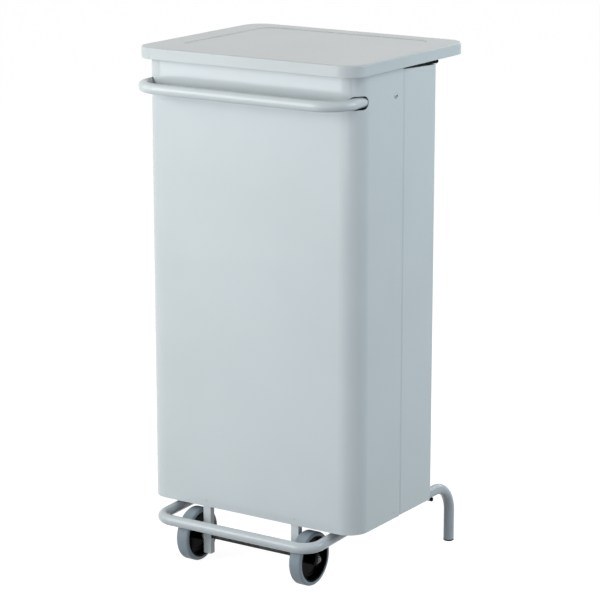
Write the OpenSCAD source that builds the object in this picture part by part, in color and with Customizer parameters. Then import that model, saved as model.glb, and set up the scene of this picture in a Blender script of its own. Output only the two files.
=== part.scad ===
// Wheeled pedal bin of painted sheet steel: a body folded from two shells, a flat lid hinged on
// the rear bar of the bag hoop, a tubular push handle, and a tubular pedal that lifts the lid
// through a lever, a push rod and two clevises. It stands on two wheels and two bent tube legs.
// Millimetres. Z is up from the floor and -Y is the user's side, with handle, pedal and wheels.

/* [Body] */
// Outer width of the body
body_w = 458; // [400:1:560]
// Outer depth of the body
body_d = 264; // [240:1:340]
// Height of the body's bottom edge above the floor
body_z = 109; // [104:1:125]
// Height of the rim at the far wall
rim_z = 930; // [700:1:1100]
// Slope of the rim down towards the hinge, in degrees
rim_slope = 2.8; // [1.5:0.1:3.5]
// Outer radius of the two near corners
corner_r = 38; // [25:1:60]
// Outer bend radius of the two far corners
far_bend_r = 3; // [2.5:0.5:6]
// Thickness of the sheet steel
sheet = 1.2; // [0.8:0.1:2]
// Place of the seam between the shells, behind the middle of the body
seam_y = 18; // [10:1:50]
// Depth by which the rear shell reaches under the front shell
seam_lap = 13; // [8:1:20]
// Play between the two shells where they lap
seam_gap = 0.1; // [0.1:0.1:0.5]
// Length over which the rear shell steps in to lie under the front shell
seam_step = 5; // [3:0.5:10]
// How much lower the rear shell's rim is than the front shell's
rear_drop = 1.5; // [0.5:0.5:3]
// How much higher the rear shell's bottom edge is than the front shell's
rear_lift = 1; // [0:0.5:3]
// Height of the floor pan's upturned edge
pan_edge = 15; // [8:1:30]

/* [Lid] */
// Reach of the lid beyond each side of the body
lid_side = 7; // [6:0.5:15]
// Reach of the lid beyond the near wall
lid_near = 22; // [12:1:40]
// Reach of the lid beyond the far wall
lid_far = 106; // [60:1:115]
// Height of the lid's skirt
lid_skirt = 21; // [16:1:32]
// Outer radius of the lid's corners
lid_corner_r = 40; // [25:1:60]
// Radius along the lid's top edge
lid_edge_r = 2.5; // [1.5:0.5:5]
// Width of the flat border beside the pressed panel, on both sides
panel_side = 54; // [40:1:70]
// Width of the flat border in front of the pressed panel
panel_near = 64; // [45:1:75]
// Width of the flat border behind the pressed panel
panel_far = 40; // [20:1:50]
// Corner radius of the pressed panel
panel_r = 28; // [10:1:60]
// Depth of the pressed panel
panel_depth = 0.8; // [0.4:0.1:1.5]
// Thickness of the rubber buffers under the lid
buffer_t = 6.5; // [4:0.5:12]
// Diameter of the rubber buffers
buffer_d = 14; // [8:1:20]

/* [Hoop and hinge] */
// Diameter of the coated bar of the bag hoop
hoop_d = 8; // [6:0.5:10]
// Distance of the hinge bar behind the far wall
hinge_out = 6.5; // [6:0.5:12]
// Distance of each hinge bracket from the middle
hinge_x = 118; // [70:1:125]
// Distance of each lid arm from the middle
arm_x = 150; // [145:1:165]
// Thickness of the lid arms
arm_t = 4; // [3:0.5:6]
// Wall of the hinge eyes round the bar
eye_wall = 3; // [2:0.5:4]

/* [Tubes] */
// Outer diameter of the steel tube of handle, pedal and legs
tube_d = 20; // [16:1:22]
// Wall of the steel tube
tube_wall = 1.5; // [1:0.1:2.5]

/* [Handle] */
// Distance of the handle bar in front of the near wall
handle_out = 48; // [42:1:100]
// Depth of the handle's screws below the height of the rim
handle_drop = 39.5; // [36:0.5:60]
// Bend radius of the handle along its middle
handle_bend_r = 50; // [40:1:60]
// Distance of the handle's screws in front of the middle of the body
handle_fix = 7; // [5:1:30]
// Clearance of the handle slot round the tube
slot_clear = 2; // [1:0.5:3]
// Clearance at the slot's rear end, where the sheet curves away
slot_end = 7.5; // [3:0.5:12]

/* [Legs] */
// Height of the legs' level part
leg_z = 115; // [112:1:122]
// Distance of the feet behind the far wall
leg_out = 92; // [70:1:100]
// Bend radius of the legs along their middle
leg_bend_r = 55; // [30:1:60]
// Height of the end plugs below the tube
plug_t = 3; // [2:0.5:5]
// Diameter of the rod that ties the legs
tie_d = 8; // [6:1:10]
// Distance of the tie rod behind the far wall
tie_out = 22; // [16:1:45]

/* [Wheels] */
// Diameter of the wheels
wheel_d = 100; // [80:1:102]
// Width of the tyres
tyre_w = 25; // [18:1:28]
// Thickness of the tyre's side wall, from tread to core
tyre_t = 7; // [5:0.5:12]
// Distance of each tyre's middle from the middle of the bin
wheel_x = 125; // [120:1:135]
// Reach of the hub on each side of the tyre's middle
hub_reach = 17.5; // [15:0.5:19]
// Diameter of the axle
axle_d = 8; // [8:0.5:12]
// Width of the wheel posts
post_w = 16; // [14:1:20]
// Depth of the wheel posts
post_d = 12; // [12:1:20]
// Height of the posts' lower ends above the floor
post_z = 17; // [10:1:30]
// Thickness of the washers beside the wheels
washer_t = 1.5; // [1:0.5:3]

/* [Pedal] */
// Distance of the pedal bar in front of the near wall
pedal_out = 58; // [56:1:80]
// Distance of each side tube of the pedal from the middle
pedal_x = 170; // [168:1:180]
// Bend radius of the pedal along its middle
pedal_bend_r = 32; // [25:1:45]
// Height of the pedal bar at rest
pedal_z = 91; // [91:1:96]
// Slope of the pedal's side tubes at rest, in degrees
pedal_slope = 2; // [0:0.5:3]
// Distance of the pedal shaft behind the near wall
pivot_in = 92; // [80:1:110]
// Diameter of the pedal shaft
shaft_d = 10; // [8:0.5:12]
// Turn of the pedal when it is pressed down, in degrees
pedal_turn = 9; // [7:0.5:10]
// Distance of each pivot bracket from the middle
bracket_x = 150; // [142:1:152]
// Thickness of the pivot brackets
bracket_t = 3; // [2:0.5:5]

/* [Lifting gear] */
// Turn of the lid when the pedal is down, in degrees
lid_turn = 60; // [45:1:75]
// Diameter of the push rod
rod_d = 10; // [8:0.5:12]
// Diameter of the two clevis pins
pin_d = 8; // [6:0.5:9]
// Thickness of the pedal lever and the lid lever
lever_t = 5; // [4:0.5:8]
// Thickness of each ear of the clevises
ear_t = 5; // [4:0.5:8]
// Play of a pin in its slot, above and below
pin_play = 0.5; // [0.5:0.1:0.8]
// Half of the width inside the rod's cover
duct_half = 20; // [16:1:30]

/* [Hidden] */
$fn = 96;

// Colours, as the photograph shows them
paint = [0.80, 0.84, 0.86];
black = [0.03, 0.03, 0.035];
steel = [0.62, 0.63, 0.64];
tyre_grey = [0.42, 0.46, 0.50];

// Radial play of a shaft or pin in its hole, and the gap between parts that sit side by side
run_fit = 0.1;
snug = 0.05;
gap = 0.3;
// Gap between two pieces that a weld or a screw holds together
weld_gap = 0.1;
// Length by which a cutting solid runs past the face that it cuts
over = 2;

// Walls of the body, from its own middle
near_y = -body_d / 2;
far_y = body_d / 2;
inset = sheet + seam_gap;
seam_open = 0.6;
rear_inner_x = body_w / 2 - inset - sheet;
tube_r = tube_d / 2;
// Height of the shells before the sloping rim is cut
shell_h = rim_z - body_z + body_d * tan(rim_slope) + over;

// The overall footprint runs from the pedal to the lid's far edge, and its middle is the origin
footprint_y = (far_y + lid_far + near_y - pedal_out - tube_r) / 2;

// Hinge: the hoop's bar lies on the sloping rim and runs on behind the far wall
hoop_r = hoop_d / 2;
hoop_seat = 0.15;
hinge_y = far_y + hinge_out;
hinge_z = rim_z - hinge_out * tan(rim_slope) + (hoop_r + hoop_seat) / cos(rim_slope);
hoop_x = body_w / 2 - sheet / 2;
hoop_near_y = near_y + sheet / 2;
hoop_depth = (hinge_y - hoop_near_y) / cos(rim_slope);
hoop_near_z = hinge_z + (hinge_y - hoop_near_y) * tan(rim_slope);
hoop_rear_r = hoop_d;
eye_r = hoop_r + eye_wall;
hinge_plate_h = 46;
hinge_plate_t = 3;
rivet_r = 2.4;
rivet_low = 11;
rivet_step = 18;

// Lid, carried on buffers above the near bar of the hoop
lid_under = hoop_near_z + hoop_r + gap + buffer_t;
lid_top = lid_under + sheet;
lid_w = body_w + 2 * lid_side;
lid_d = body_d + lid_near + lid_far;
lid_mid_y = (lid_far - lid_near) / 2;
panel_under = lid_under - panel_depth;
buffer_x = arm_x;

// Handle, legs
handle_x = body_w / 2 - sheet - tube_r - gap;
handle_z = rim_z - handle_drop;
handle_leg = handle_out + body_d / 2 - handle_fix;
handle_tail = 10;
slot_r = tube_r + slot_clear;
corner_mid_x = body_w / 2 - corner_r;
handle_exit = sqrt(pow(corner_r, 2) - pow(handle_x + tube_r - corner_mid_x, 2));
slot_end_y = near_y + corner_r - handle_exit + slot_end;
screw_r = 3;
leg_x = rear_inner_x - tube_r - gap;
leg_lead = 17;
leg_front_y = seam_y - seam_lap - leg_lead;
leg_y = far_y + leg_out;
tie_y = far_y + tie_out;
tie_z = leg_z - tube_r - weld_gap - tie_d / 2;
tie_wall = 1.5;
plug_stem = 15;
notch_clear = 1.5;
notch_depth = 3.5;

// Wheels
wheel_r = wheel_d / 2;
post_x = wheel_x - hub_reach - gap - washer_t - gap / 2 - post_w / 2;
post_wall = 1.5;
wheel_y = near_y + sheet + seam_gap + post_d / 2;
washer_r = axle_d / 2 + 5;
axle_half = wheel_x + hub_reach + gap + 4;
core_r = wheel_r - tyre_t;

// Pedal and lifting gear. The rod stands midway in the sideways travel of both pins, and the
// lid lever is as long as the rod's travel needs
pivot_y = near_y + pivot_in;
pivot_z = pedal_z + (pivot_in + pedal_out) * tan(pedal_slope);
front_arm = (pivot_in + pedal_out) / cos(pedal_slope);
pedal_tail = 14;
lever_share = tan(pedal_turn / 2) / (2 * tan(lid_turn / 4));
rod_y = (hinge_y + lever_share * pivot_y) / (1 + lever_share);
rear_arm = 2 * (rod_y - pivot_y) / (1 + cos(pedal_turn));
rod_travel = rear_arm * sin(pedal_turn);
lid_arm = rod_travel / (2 * sin(lid_turn / 2));
lower_pin_y = pivot_y + rear_arm;
lower_pin_z = pivot_z;
upper_pin_y = hinge_y - lid_arm * cos(lid_turn / 2);
upper_pin_z = hinge_z - lid_arm * sin(lid_turn / 2);
sideways = max(rear_arm * (1 - cos(pedal_turn)), lid_arm * (1 - cos(lid_turn / 2))) / 2;
pin_r = pin_d / 2;
slot_half = sideways + 1;
boss_r = pin_r + 4;
clevis_half = slot_half + pin_r + 4;
clevis_tip = pin_r + 6;
clevis_root = boss_r + 2;
clevis_neck = 10;
clevis_x = lever_t / 2 + 0.6 + ear_t;
clip_t = 1.5;
pin_half = clevis_x + gap + clip_t + 1.5;
nut_h = 5;
rod_low = lower_pin_z + clevis_root + gap;
rod_high = upper_pin_z - clevis_root - gap;

// Floor pan, above everything that the pedal lifts
bush_wall = 3;
bush_drop = 6;
pan_z = lower_pin_z + clevis_root + clevis_neck + nut_h + rod_travel + bush_drop + 5 + sheet;
pan_under = pan_z - sheet;
bracket_half = 18;
bracket_flange = 22;
bracket_screw_r = 3;
bracket_screw_step = 20;
bracket_nut_h = 5;
pivot_bush_wall = 2;

// Rod cover on the far wall's inner side
duct_back = far_y - sheet - run_fit;
duct_front = rod_y - clevis_half - 2;
duct_clear = 12;
duct_top = hinge_z - duct_clear;
duct_flange = 12;
guide_t = 3;
guide_z = rod_high - clevis_neck - nut_h - bush_drop - duct_clear;

// Moves a part from the middle of the body to the middle of the footprint
module in_frame() {
    translate([0, -footprint_y, 0]) children();
}

// Puts a part at the left and at the right side
module both_sides() {
    children();
    mirror([1, 0, 0]) children();
}

// Rectangle with round near corners and square far corners
module round_near(w, d, r) {
    translate([-w / 2, -d / 2 + r]) square([w, d - r]);
    translate([-w / 2 + r, -d / 2]) square([w - 2 * r, r + 1]);
    for (s = [-1, 1]) translate([s * (w / 2 - r), -d / 2 + r]) circle(r);
}

// Rectangle with four round corners
module round_all(w, d, r) {
    square([w, d - 2 * r], center = true);
    square([w - 2 * r, d], center = true);
    for (s = [-1, 1], t = [-1, 1]) translate([s * (w / 2 - r), t * (d / 2 - r)]) circle(r);
}

// Everything above the sloping rim, lowered by drop
module above_rim(drop) {
    translate([0, far_y, rim_z - drop]) rotate([-rim_slope, 0, 0])
        translate([-body_w, -2 * body_d, 0]) cube([2 * body_w, 3 * body_d, shell_h]);
}

// Cylinder along X, centred
module across(r, h) {
    rotate([0, 90, 0]) cylinder(r = r, h = h, center = true);
}

// Quarter or part turn of a bar of diameter d that heads along +Y and bends towards +X
module bend(r, a, d) {
    translate([r, 0, 0]) rotate([0, 0, 180 - a]) rotate_extrude(angle = a) translate([r, 0]) circle(d = d);
}

// Bar along +Y that bends towards +X: each step is [straight length, bend radius, bend angle]
module run(steps, d, i = 0) {
    if (i < len(steps)) {
        straight = steps[i][0];
        r = steps[i][1];
        a = steps[i][2];
        rotate([-90, 0, 0]) cylinder(d = d, h = straight);
        translate([0, straight, 0]) {
            if (a > 0) bend(r, a, d);
            translate([r * (1 - cos(a)), r * sin(a), 0]) rotate([0, 0, -a]) run(steps, d, i + 1);
        }
    }
}

// Steel tube along the same kind of run
module tube(steps) {
    difference() {
        run(steps, tube_d);
        run(steps, tube_d - 2 * tube_wall);
    }
}

// Dome-headed rivet or screw along +Z, its head on z = 0 and its shank below
module dome_screw(r, head_r, shank) {
    head_h = head_r / 2;
    ball = (pow(head_r, 2) + pow(head_h, 2)) / (2 * head_h);
    translate([0, 0, -shank]) cylinder(r = r, h = shank + head_h / 2);
    intersection() {
        translate([0, 0, head_h - ball]) sphere(ball);
        cylinder(r = head_r + 1, h = head_h + 1);
    }
}

// Section of the lid from a corner's middle outwards: top sheet, round edge and skirt
module lid_section(r, h, e) {
    difference() {
        union() {
            square([r, h - e]);
            square([r - e, h]);
            translate([r - e, h - e]) circle(e);
        }
        translate([-over, -over]) square([r - sheet + over, h - sheet + over]);
    }
}

// Straight side of the lid, along Y
module lid_side_run(r, h, e, length) {
    rotate([90, 0, 0]) translate([0, 0, -length / 2]) linear_extrude(length) lid_section(r, h, e);
}

// Tray of sheet with four revolved corners and four straight sides
module lid_form(w, d, r, h, e) {
    for (turn = [0, 180]) rotate([0, 0, turn]) {
        translate([w / 2 - r, 0, 0]) lid_side_run(r, h, e, d - 2 * r);
        rotate([0, 0, 90]) translate([d / 2 - r, 0, 0]) lid_side_run(r, h, e, w - 2 * r);
        translate([w / 2 - r, d / 2 - r, 0]) rotate_extrude(angle = 90) lid_section(r, h, e);
        translate([-w / 2 + r, d / 2 - r, 0]) rotate([0, 0, 90])
            rotate_extrude(angle = 90) lid_section(r, h, e);
    }
    translate([-w / 2 + r, -d / 2 + r, h - sheet]) cube([w - 2 * r, d - 2 * r, sheet]);
}

// The handle's own frame: its screws on the X axis, its bar at -Y
module at_handle() {
    translate([0, -handle_fix, handle_z]) children();
}

// The slot through a near corner, round the handle's tube and on to the side wall
module handle_slot() {
    reach = body_d;
    at_handle() translate([handle_x, slot_end_y - slot_r + handle_fix, 0]) {
        rotate([90, 0, 0]) cylinder(r = slot_r, h = reach);
        rotate([0, 90, 0]) cylinder(r = slot_r, h = reach);
        translate([0, -reach, -slot_r]) cube([reach, reach, 2 * slot_r]);
    }
}

module front_shell() {
    color(paint) in_frame() difference() {
        translate([0, 0, body_z]) linear_extrude(shell_h) difference() {
            round_near(body_w, body_d, corner_r);
            round_near(body_w - 2 * sheet, body_d - 2 * sheet, corner_r - sheet);
            translate([-body_w, seam_y]) square([2 * body_w, body_d]);
        }
        above_rim(0);
        both_sides() handle_slot();
        at_handle() across(screw_r + run_fit, 2 * body_w);
    }
}

// Outline of the rear shell, filled from its ends at low, which step in to lie under the front shell
module rear_area(w, d, r, low) {
    half = w / 2;
    open_y = seam_y + seam_open;
    step_y = open_y + seam_step;
    difference() {
        mirror([0, 1]) round_near(w, d, r);
        translate([-w, step_y - 2 * d]) square([2 * w, 2 * d]);
    }
    polygon([[inset - half, low], [half - inset, low], [half - inset, open_y], [half, step_y],
        [half - over, step_y + over], [over - half, step_y + over], [-half, step_y],
        [inset - half, open_y]]);
}

module rear_shell() {
    notch_x = leg_x - tube_r - notch_clear;
    notch_top = leg_z + tube_r + notch_clear;
    color(paint) in_frame() difference() {
        translate([0, 0, body_z + rear_lift]) linear_extrude(shell_h) difference() {
            rear_area(body_w, body_d, far_bend_r, seam_y - seam_lap);
            rear_area(body_w - 2 * sheet, body_d - 2 * sheet, far_bend_r - sheet,
                seam_y - seam_lap - over);
        }
        above_rim(rear_drop);
        both_sides() translate([notch_x, far_y - notch_depth, body_z - over])
            cube([body_w, body_d, notch_top - body_z + over]);
        rivet_places() cylinder(r = rivet_r + snug, h = 4 * sheet, center = true);
    }
}

module floor_pan() {
    w = 2 * (rear_inner_x - run_fit);
    d = body_d - 2 * (sheet + run_fit);
    r = corner_r - sheet - run_fit;
    notch = duct_half + duct_flange + gap;
    color(paint) in_frame() difference() {
        translate([0, 0, pan_under]) linear_extrude(sheet + pan_edge) intersection() {
            round_near(w, d, r);
            mirror([0, 1]) round_near(w, d, far_bend_r);
        }
        translate([0, 0, pan_z]) linear_extrude(pan_edge + over)
            round_near(w - 2 * sheet, d - 2 * sheet, r - sheet);
        // Gap in the edge for the rod's cover
        translate([-notch, duct_front, pan_z]) cube([2 * notch, body_d, pan_edge + over]);
        translate([0, rod_y, 0]) cylinder(r = rod_d / 2 + bush_wall + snug, h = 2 * pan_z);
        bracket_screw_places() cylinder(r = bracket_screw_r + snug, h = 2 * pan_z, center = true);
    }
}

module rod_duct() {
    depth = duct_back - duct_front;
    inner = 2 * duct_half;
    color(paint) in_frame() translate([0, duct_front, pan_z + gap])
        linear_extrude(duct_top - pan_z) difference() {
            union() {
                translate([-duct_half - sheet, 0]) square([inner + 2 * sheet, depth]);
                translate([-duct_half - duct_flange, depth - sheet])
                    square([inner + 2 * duct_flange, sheet]);
            }
            translate([-duct_half, sheet]) square([inner, depth]);
        }
}

// Closed ring of round bar on the sloping rim, whose rear bar is the hinge pin of the lid
module bag_hoop() {
    near_r = corner_r - sheet / 2;
    half = hoop_x - near_r;
    side = hoop_depth - near_r - hoop_rear_r;
    rear = hoop_x - hoop_rear_r;
    steps = [[half, near_r, 90], [side, hoop_rear_r, 90], [rear, 0, 0]];
    color(black) in_frame() translate([0, hinge_y, hinge_z]) rotate([-rim_slope, 0, 0])
        both_sides() translate([0, -hoop_depth, 0]) rotate([0, 0, -90])
            mirror([1, 0, 0]) run(steps, hoop_d);
}

// Places of the rivets that hold the hinge brackets, their Z along the wall's outward normal
module rivet_places() {
    first = hinge_z - hinge_plate_h + rivet_low;
    both_sides() for (k = [0, 1]) translate([hinge_x, far_y, first + k * rivet_step])
        rotate([-90, 0, 0]) children();
}

// Hinge bracket: a plate on the far wall with an eye round the hoop's rear bar
module hinge_bracket() {
    half = 14;
    color(paint) in_frame() translate([hinge_x, 0, 0]) difference() {
        union() {
            translate([-half, far_y + run_fit, hinge_z - hinge_plate_h])
                cube([2 * half, hinge_plate_t, hinge_plate_h]);
            translate([0, hinge_y, hinge_z]) across(eye_r, 2 * half);
        }
        translate([0, hinge_y, hinge_z]) across(hoop_r + snug, 4 * half);
        translate([-hinge_x, 0, 0]) rivet_places()
            cylinder(r = rivet_r + snug, h = 6 * hinge_plate_t, center = true);
        // Room for the top edge of the far wall
        translate([-2 * half, 0, 0]) cube([4 * half, far_y + run_fit, hinge_z]);
    }
}

module hinge_bracket_right() {
    hinge_bracket();
}

module hinge_bracket_left() {
    mirror([1, 0, 0]) hinge_bracket();
}

module hinge_rivets() {
    head_r = 4.5;
    grip = hinge_plate_t + run_fit + sheet;
    color(steel) in_frame() rivet_places() {
        translate([0, 0, hinge_plate_t + run_fit]) dome_screw(rivet_r, head_r, grip);
        translate([0, 0, -sheet]) mirror([0, 0, 1]) dome_screw(rivet_r, head_r, sheet);
    }
}

module push_handle() {
    straight = handle_leg + handle_tail - handle_bend_r;
    bar = 2 * (handle_x - handle_bend_r);
    color(paint) in_frame() at_handle() difference() {
        translate([handle_x, handle_tail, 0]) rotate([0, 0, 180])
            tube([[straight, handle_bend_r, 90], [bar, handle_bend_r, 90], [straight, 0, 0]]);
        across(screw_r + snug, 2 * body_w);
    }
}

module handle_screws() {
    color(steel) in_frame() at_handle() both_sides() translate([body_w / 2 + snug, 0, 0])
        rotate([0, 90, 0]) dome_screw(screw_r, 5, sheet + gap + 8);
}

module leg() {
    level = leg_y - leg_bend_r - leg_front_y;
    color(paint) in_frame() translate([leg_x, leg_front_y, leg_z]) rotate([0, 90, 0])
        tube([[level, leg_bend_r, 90], [leg_z - leg_bend_r - plug_t, 0, 0]]);
}

module leg_right() {
    leg();
}

module leg_left() {
    mirror([1, 0, 0]) leg();
}

// Plug in the foot of a leg: a stem in the tube and a foot with a worn-off edge
module leg_plug() {
    stem = tube_r - tube_wall - snug;
    chamfer = 1;
    color(black) in_frame() translate([leg_x, leg_y, 0]) rotate_extrude()
        polygon([[0, 0], [tube_r - chamfer, 0], [tube_r, chamfer], [tube_r, plug_t], [stem, plug_t],
            [stem, plug_t + plug_stem], [0, plug_t + plug_stem]]);
}

module leg_plug_right() {
    leg_plug();
}

module leg_plug_left() {
    mirror([1, 0, 0]) leg_plug();
}

module leg_tie_rod() {
    color(paint) in_frame() translate([0, tie_y, tie_z]) difference() {
        across(tie_d / 2, 2 * leg_x);
        across(tie_d / 2 - tie_wall, 3 * leg_x);
    }
}

// Black plugs with round heads in the ends of the hollow tie rod
module tie_rod_caps() {
    head = 4;
    stem = 8;
    edge = 1.2;
    head_r = tie_d / 2;
    stem_r = head_r - tie_wall - snug;
    color(black) in_frame() both_sides() translate([leg_x + snug, tie_y, tie_z]) rotate([0, 90, 0])
        rotate_extrude() {
            square([head_r, head - edge]);
            square([head_r - edge, head]);
            translate([head_r - edge, head - edge]) circle(edge);
            translate([0, -stem]) square([stem_r, stem + edge]);
        }
}

module wheel_post() {
    top = pan_under - 5;
    color(paint) in_frame() translate([post_x, wheel_y, 0]) difference() {
        translate([-post_w / 2, -post_d / 2, post_z]) cube([post_w, post_d, top - post_z]);
        translate([-post_w / 2 + post_wall, -post_d / 2 + post_wall, 0])
            cube([post_w - 2 * post_wall, post_d - 2 * post_wall, top + over]);
        translate([0, 0, wheel_r]) across(axle_d / 2 + snug, 2 * post_w);
    }
}

module wheel_post_right() {
    wheel_post();
}

module wheel_post_left() {
    mirror([1, 0, 0]) wheel_post();
}

module axle() {
    color(black) in_frame() translate([0, wheel_y, wheel_r]) across(axle_d / 2, 2 * axle_half);
}

// Flat washers between the posts and the hubs
module axle_washers() {
    color(steel) in_frame() translate([0, wheel_y, wheel_r]) both_sides()
        translate([post_x + post_w / 2 + gap / 2 + washer_t / 2, 0, 0]) difference() {
            across(washer_r, washer_t);
            across(axle_d / 2 + snug, 2 * washer_t);
        }
}

// Domed push-on caps on the ends of the axle
module axle_caps() {
    cap_r = axle_d / 2 + 3;
    rim_t = 2;
    dome = axle_d / 2 + 1.2;
    color(steel) in_frame() translate([0, wheel_y, wheel_r]) both_sides()
        translate([wheel_x + hub_reach + gap, 0, 0]) rotate([0, 90, 0]) difference() {
            union() {
                cylinder(r = cap_r, h = rim_t);
                cylinder(r = dome, h = 4);
                translate([0, 0, 4]) intersection() {
                    translate([0, 0, 2.4 - dome * 1.6]) sphere(dome * 1.6);
                    cylinder(r = dome, h = 4);
                }
            }
            translate([0, 0, -over]) cylinder(r = axle_d / 2 + snug, h = 4 + over + snug);
        }
}

// Tyre: a tread with round shoulders, open towards the core
module tyre() {
    half = tyre_w / 2;
    shoulder = 4;
    color(tyre_grey) in_frame() translate([wheel_x, wheel_y, wheel_r]) rotate([0, 90, 0])
        rotate_extrude() difference() {
            union() {
                translate([core_r, -half]) square([tyre_t - shoulder, tyre_w]);
                translate([core_r, -half + shoulder]) square([tyre_t, tyre_w - 2 * shoulder]);
                for (s = [-1, 1]) translate([wheel_r - shoulder, s * (half - shoulder)]) circle(shoulder);
            }
            translate([0, -half]) square([core_r + snug, tyre_w]);
        }
}

module tyre_right() {
    tyre();
}

module tyre_left() {
    mirror([1, 0, 0]) tyre();
}

// Wheel core: rim, dished web with a raised ring, and a long hub that runs on the axle
module wheel_core() {
    half = tyre_w / 2;
    rim_t = 3;
    hub_r = axle_d / 2 + 7;
    web_out = 2;
    web_t = 4;
    ring_r = (hub_r + core_r) * 0.55;
    color(black) in_frame() translate([wheel_x, wheel_y, wheel_r]) rotate([0, 90, 0]) rotate_extrude() {
        translate([core_r - rim_t, -half + 1]) square([rim_t, tyre_w - 2]);
        translate([hub_r - 1, web_out - web_t]) square([core_r - rim_t / 2 - hub_r, web_t]);
        translate([axle_d / 2 + run_fit, -hub_reach]) square([hub_r - axle_d / 2 - run_fit, 2 * hub_reach]);
        translate([ring_r, web_out - web_t - 1.5]) square([3, web_t + 3]);
        // Step where the web meets the rim
        translate([core_r - rim_t - 3, web_out - web_t - 2]) square([3 + rim_t / 2, web_t + 4]);
    }
}

module wheel_core_right() {
    wheel_core();
}

module wheel_core_left() {
    mirror([1, 0, 0]) wheel_core();
}

// Places of the bracket screws, from the pan's upper side downwards
module bracket_screw_places() {
    x = bracket_x - bracket_t / 2 - bracket_flange / 2;
    both_sides() for (k = [-1, 1]) translate([x, pivot_y + k * bracket_screw_step / 2, pan_z])
        children();
}

// Pivot bracket: a plate that hangs from the pan, rounded under the shaft, with a flange on top
module pivot_bracket() {
    bush_r = shaft_d / 2 + pivot_bush_wall;
    round_r = bush_r + 5;
    top = pan_under - weld_gap;
    color(paint) in_frame() translate([bracket_x, pivot_y, 0]) difference() {
        union() {
            translate([-bracket_t / 2, -round_r, pivot_z]) cube([bracket_t, 2 * round_r, top - pivot_z]);
            translate([0, 0, pivot_z]) across(round_r, bracket_t);
            translate([-bracket_t / 2 - bracket_flange, -bracket_half, top - bracket_t])
                cube([bracket_flange + bracket_t, 2 * bracket_half, bracket_t]);
        }
        translate([0, 0, pivot_z]) across(bush_r + snug, 3 * bracket_t);
        translate([-bracket_x, -pivot_y, 0]) bracket_screw_places()
            cylinder(r = bracket_screw_r + snug, h = 10 * bracket_t, center = true);
    }
}

module pivot_bracket_right() {
    pivot_bracket();
}

module pivot_bracket_left() {
    mirror([1, 0, 0]) pivot_bracket();
}

module bracket_screws() {
    head_r = 5.5;
    color(steel) in_frame() bracket_screw_places() translate([0, 0, snug])
        dome_screw(bracket_screw_r, head_r, sheet + bracket_t + bracket_nut_h + 3);
}

// Hexagon nuts under the bracket flanges
module bracket_nuts() {
    corner = 5.8;
    color(steel) in_frame() bracket_screw_places()
        translate([0, 0, -sheet - weld_gap - bracket_t - snug]) mirror([0, 0, 1]) difference() {
            cylinder(r = corner, h = bracket_nut_h, $fn = 6);
            translate([0, 0, -over]) cylinder(r = bracket_screw_r + snug, h = bracket_nut_h + 2 * over);
        }
}

// Flanged plastic bush with its flange on z = 0 and its sleeve below
module bush(bore_r, wall, flange, length) {
    flange_t = 1.5;
    difference() {
        union() {
            cylinder(r = bore_r + wall + flange, h = flange_t);
            translate([0, 0, -length]) cylinder(r = bore_r + wall, h = length + flange_t);
        }
        translate([0, 0, -length - over]) cylinder(r = bore_r + run_fit, h = length + 2 * over + flange_t);
    }
}

module pivot_bushes() {
    color(black) in_frame() translate([0, pivot_y, pivot_z]) both_sides()
        translate([bracket_x + bracket_t / 2 + snug, 0, 0]) rotate([0, 90, 0])
            bush(shaft_d / 2, pivot_bush_wall, 2, bracket_t + 2);
}

// Plate across the rod's cover that holds the upper bush
module guide_plate() {
    half = duct_half - run_fit;
    front = duct_front + sheet + run_fit;
    color(paint) in_frame() difference() {
        translate([-half, front, guide_z]) cube([2 * half, duct_back - front, guide_t]);
        translate([0, rod_y, guide_z])
            cylinder(r = rod_d / 2 + bush_wall + snug, h = 4 * guide_t, center = true);
    }
}

module guide_bushes() {
    color(black) in_frame() translate([0, rod_y, 0]) {
        translate([0, 0, pan_z + snug]) bush(rod_d / 2, bush_wall, 3, sheet + bush_drop);
        translate([0, 0, guide_z + guide_t + snug]) bush(rod_d / 2, bush_wall, 3, guide_t + bush_drop);
    }
}

// Lid: one pressed sheet with a skirt all round and a shallow panel sunk into its top
module lid() {
    panel_w = lid_w - 2 * panel_side;
    panel_d = lid_d - panel_near - panel_far;
    panel_y = (panel_near - panel_far) / 2;
    color(paint) in_frame() translate([0, lid_mid_y, lid_top - lid_skirt]) difference() {
        union() {
            lid_form(lid_w, lid_d, lid_corner_r, lid_skirt, lid_edge_r);
            translate([0, panel_y, lid_skirt - sheet - panel_depth]) linear_extrude(sheet)
                round_all(panel_w + 2 * sheet, panel_d + 2 * sheet, panel_r + sheet);
        }
        translate([0, panel_y, lid_skirt - panel_depth]) linear_extrude(panel_depth + over)
            round_all(panel_w, panel_d, panel_r);
    }
}

// Lid arm: a plate under the lid's panel with an eye that turns on the hoop's rear bar
module lid_arm() {
    reach = 38;
    back = 14;
    flange = 16;
    flange_t = 2;
    top = panel_under - weld_gap - hinge_z;
    color(paint) in_frame() translate([arm_x, hinge_y, hinge_z]) difference() {
        union() {
            across(eye_r, arm_t);
            translate([arm_t / 2, 0, 0]) rotate([90, 0, -90]) linear_extrude(arm_t)
                polygon([[eye_r, 0], [back, top], [-reach, top], [-reach, top - 6], [-eye_r, 0]]);
            translate([-flange + arm_t / 2, -back, top - flange_t]) cube([flange, back + reach, flange_t]);
        }
        across(hoop_r + run_fit, 3 * arm_t);
    }
}

module lid_arm_right() {
    lid_arm();
}

module lid_arm_left() {
    mirror([1, 0, 0]) lid_arm();
}

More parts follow.
